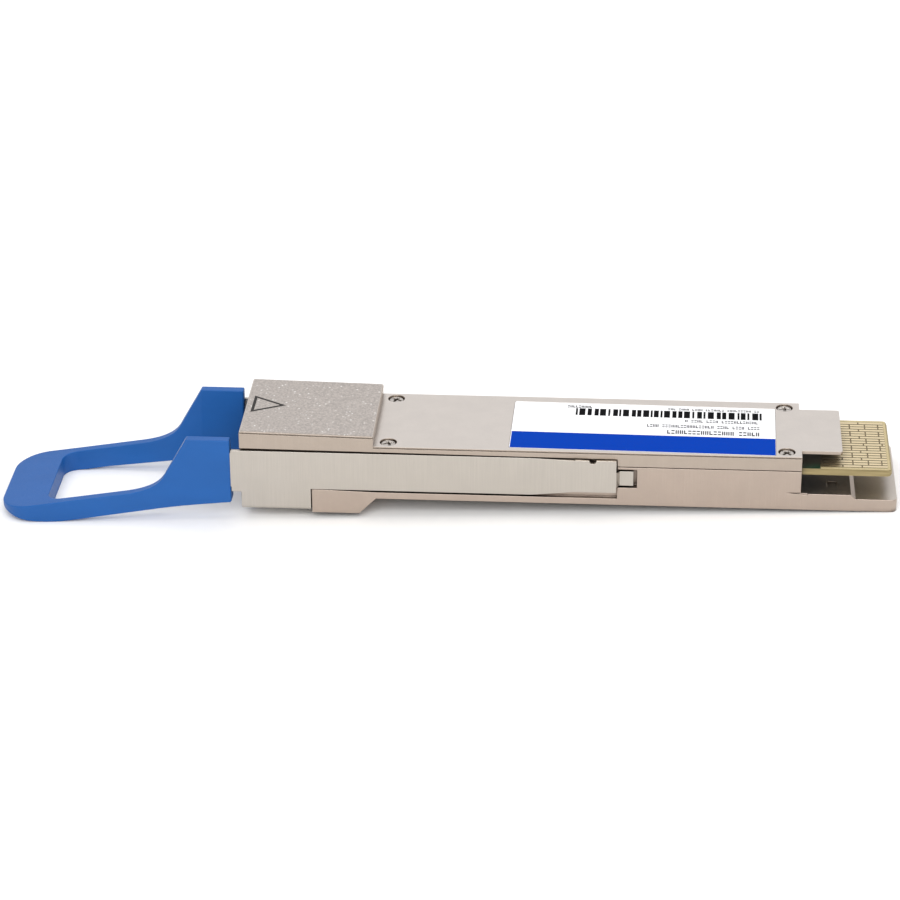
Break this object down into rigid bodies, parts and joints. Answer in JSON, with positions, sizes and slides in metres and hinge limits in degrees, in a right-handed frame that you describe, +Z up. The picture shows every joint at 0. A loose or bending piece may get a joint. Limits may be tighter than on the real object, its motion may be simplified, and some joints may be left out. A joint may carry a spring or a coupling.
{
  "type": "optical transceiver module",
  "caption": "Pluggable optical transceiver: metal housing with gold card edge, fibre port in a raised nose, spring-returned side latch and a loop pull tab.",
  "frame": {"origin": "centre of the bounding box in plan, at the height of its lowest point, which is under the front of the pull tab's loop", "axes": "+X from the pull tab and fibre port towards the card edge, +Y to the left when looking along +X, +Z up out of the labelled lid"},
  "size_m": [0.1324, 0.0194, 0.0157],
  "materials": {
    "nickel_casting_base": "nickel-plated zinc die casting, satin",
    "nickel_casting_cover": "nickel-plated zinc die casting, satin, warm grey",
    "screw_steel": "satin steel",
    "label_film": "satin white film with a plain blue band",
    "foil_plate": "grit-blasted foil",
    "card_laminate": "green solder mask on glass-epoxy laminate",
    "contact_gold": "gold-plated copper, satin",
    "chip_lid_metal": "nickel-plated, satin",
    "thermal_silicone": "matte gap filler",
    "ceramic_carrier": "matte alumina",
    "chip_black": "moulded package",
    "optical_glass": "polished",
    "ferrite_grey": "matte ferrite",
    "ceramic_capacitor": "satin, tinned ends",
    "fibre_jacket": "coated fibre ribbon",
    "ferrule_polymer": "filled polymer, ground face",
    "receptacle_black": "moulded",
    "conductive_elastomer": "matte",
    "spring_steel": "drawn wire",
    "stamped_steel": "stamped stainless sheet, fine vertical grain",
    "blue_plastic": "moulded blue polymer, soft satin"
  },
  "bodies": {
    "housing": {"base_shell": "nickel_casting_base", "top_cover": "nickel_casting_cover", "cover_screws": "screw_steel", "label_sheet": "label_film", "nose_plate": "foil_plate", "circuit_card": "card_laminate", "contacts_top_inner": "contact_gold", "contacts_top_outer": "contact_gold", "contacts_bottom_inner": "contact_gold", "contacts_bottom_outer": "contact_gold", "processor_substrate": "card_laminate", "processor_lid": "chip_lid_metal", "processor_thermal_pad": "thermal_silicone", "engine_carrier": "ceramic_carrier", "photonic_chip": "chip_black", "fibre_coupler": "optical_glass", "laser_diodes": "contact_gold", "driver_chips": "chip_black", "engine_lid": "chip_lid_metal", "engine_thermal_pad": "thermal_silicone", "microcontroller": "chip_black", "memory_chip": "chip_black", "power_regulators": "chip_black", "inductors": "ferrite_grey", "capacitors_lower": "ceramic_capacitor", "capacitors_upper": "ceramic_capacitor", "clock_oscillator": "chip_lid_metal", "card_screws": "screw_steel", "fibre_ribbon": "fibre_jacket", "mt_ferrule": "ferrule_polymer", "guide_pins": "screw_steel", "ferrule_clip": "screw_steel", "port_receptacle": "receptacle_black", "card_gasket_upper": "conductive_elastomer", "card_gasket_lower": "conductive_elastomer", "seam_gaskets": "conductive_elastomer", "return_spring_left": "spring_steel", "return_spring_right": "spring_steel"},
    "latch": {"latch_slider": "stamped_steel", "pull_tab": "blue_plastic"}
  },
  "joints": [
    {"name": "latch_slide", "type": "slide", "parent": "housing", "child": "latch", "axis": [-1, 0, 0], "range_m": [0, 0.0024], "stiffness_N_per_m": 900, "springref_m": -0.003, "deforming": ["return_spring_left", "return_spring_right"]}
  ]
}
